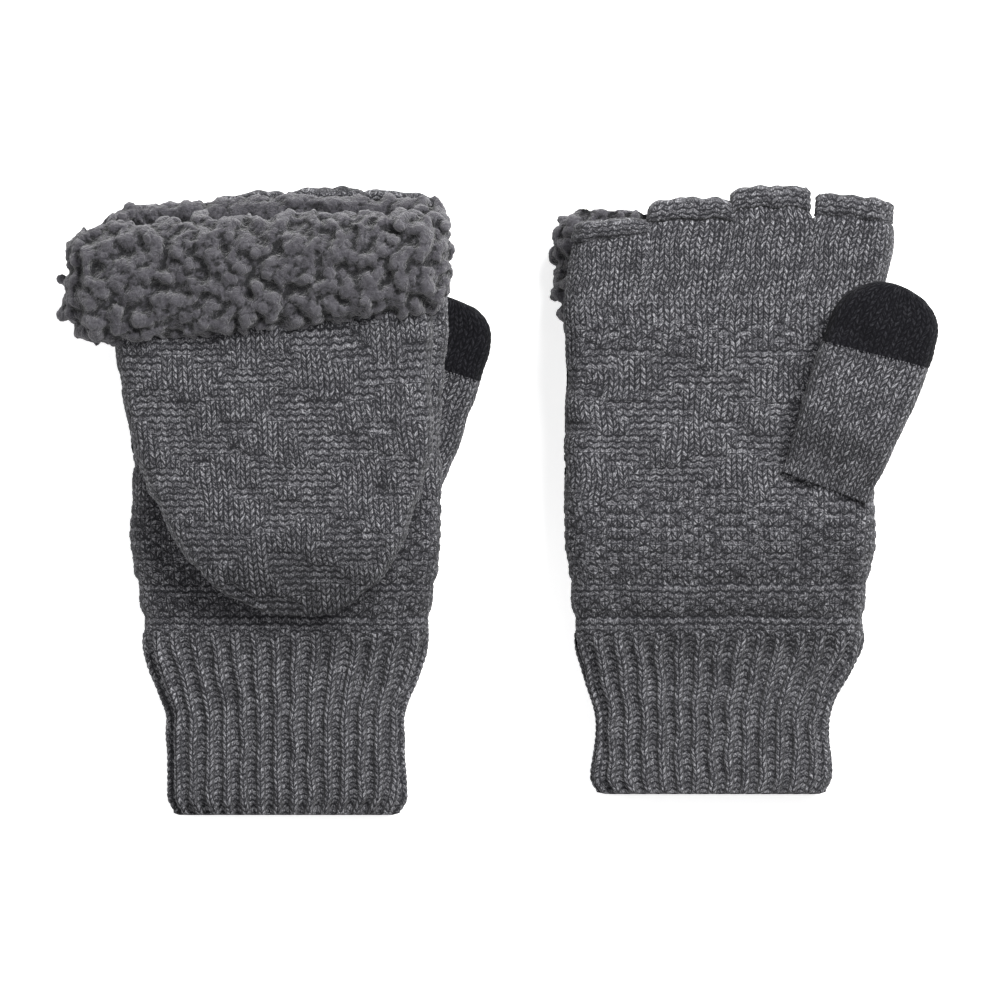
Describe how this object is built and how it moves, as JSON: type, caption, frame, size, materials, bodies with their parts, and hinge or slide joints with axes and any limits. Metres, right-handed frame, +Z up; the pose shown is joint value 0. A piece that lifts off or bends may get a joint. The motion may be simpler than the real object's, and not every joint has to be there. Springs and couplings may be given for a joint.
{
  "type": "convertible flip-top mittens",
  "caption": "Pair of knitted flip-top mittens lying flat: half-finger stalls under a sherpa-lined cap that flips open over the hand, ribbed wrist cuffs and dark touch-yarn thumb tips.",
  "frame": {"origin": "middle of the pair's footprint, on the table", "axes": "+X across the pair from the left mitten to the right one, +Y from the wrists to the fingers, +Z up from the table"},
  "size_m": [0.2904, 0.209, 0.0573],
  "materials": {
    "knit": "heathered charcoal stockinette and textured knit",
    "rib_knit": "heathered charcoal chunky rib",
    "touch_knit": "black touch yarn",
    "sherpa": "curly grey sherpa pile"
  },
  "bodies": {
    "left_mitten": {"left_hand": "knit", "left_wrist_cuff": "rib_knit", "left_index_stall": "knit", "left_index_edge": "knit", "left_middle_stall": "knit", "left_middle_edge": "knit", "left_ring_stall": "knit", "left_ring_edge": "knit", "left_little_stall": "knit", "left_little_edge": "knit"},
    "left_thumb": {"left_thumb_stall": "knit", "left_thumb_tip": "touch_knit"},
    "left_cap": {"left_cap_shell": "knit", "left_cap_lining": "sherpa", "left_cap_mouth_cuff": "sherpa"},
    "right_mitten": {"right_hand": "knit", "right_wrist_cuff": "rib_knit", "right_index_stall": "knit", "right_index_edge": "knit", "right_middle_stall": "knit", "right_middle_edge": "knit", "right_ring_stall": "knit", "right_ring_edge": "knit", "right_little_stall": "knit", "right_little_edge": "knit"},
    "right_thumb": {"right_thumb_stall": "knit", "right_thumb_tip": "touch_knit"},
    "right_cap": {"right_cap_shell": "knit", "right_cap_lining": "sherpa", "right_cap_mouth_cuff": "sherpa"}
  },
  "joints": [
    {"name": "left_cap_flip", "type": "hinge", "parent": "left_mitten", "child": "left_cap", "pos_m": [-0.07155, 0.0622, 0.02671], "axis": [-0.9864, 0, -0.1643], "range_deg": [0, 180], "deforming": ["left_cap_shell", "left_cap_lining", "left_cap_mouth_cuff"]},
    {"name": "left_thumb_fold", "type": "hinge", "parent": "left_mitten", "child": "left_thumb", "pos_m": [-0.03815, -0.0033, 0.0112], "axis": [-0.9542, 0.299, 0], "range_deg": [0, 75]},
    {"name": "right_mitten_lift", "type": "slide", "parent": "left_mitten", "child": "right_mitten", "axis": [0, 0, 1], "range_m": [0, 0.12]},
    {"name": "right_cap_flip", "type": "hinge", "parent": "right_mitten", "child": "right_cap", "pos_m": [0.07325, 0.0622, 0.02285], "axis": [1, 0, 0], "range_deg": [0, 180], "deforming": ["right_cap_shell", "right_cap_lining", "right_cap_mouth_cuff"]},
    {"name": "right_thumb_fold", "type": "hinge", "parent": "right_mitten", "child": "right_thumb", "pos_m": [0.11085, 0.0037, 0.0369], "axis": [0.9542, -0.299, 0], "range_deg": [0, 75]}
  ]
}
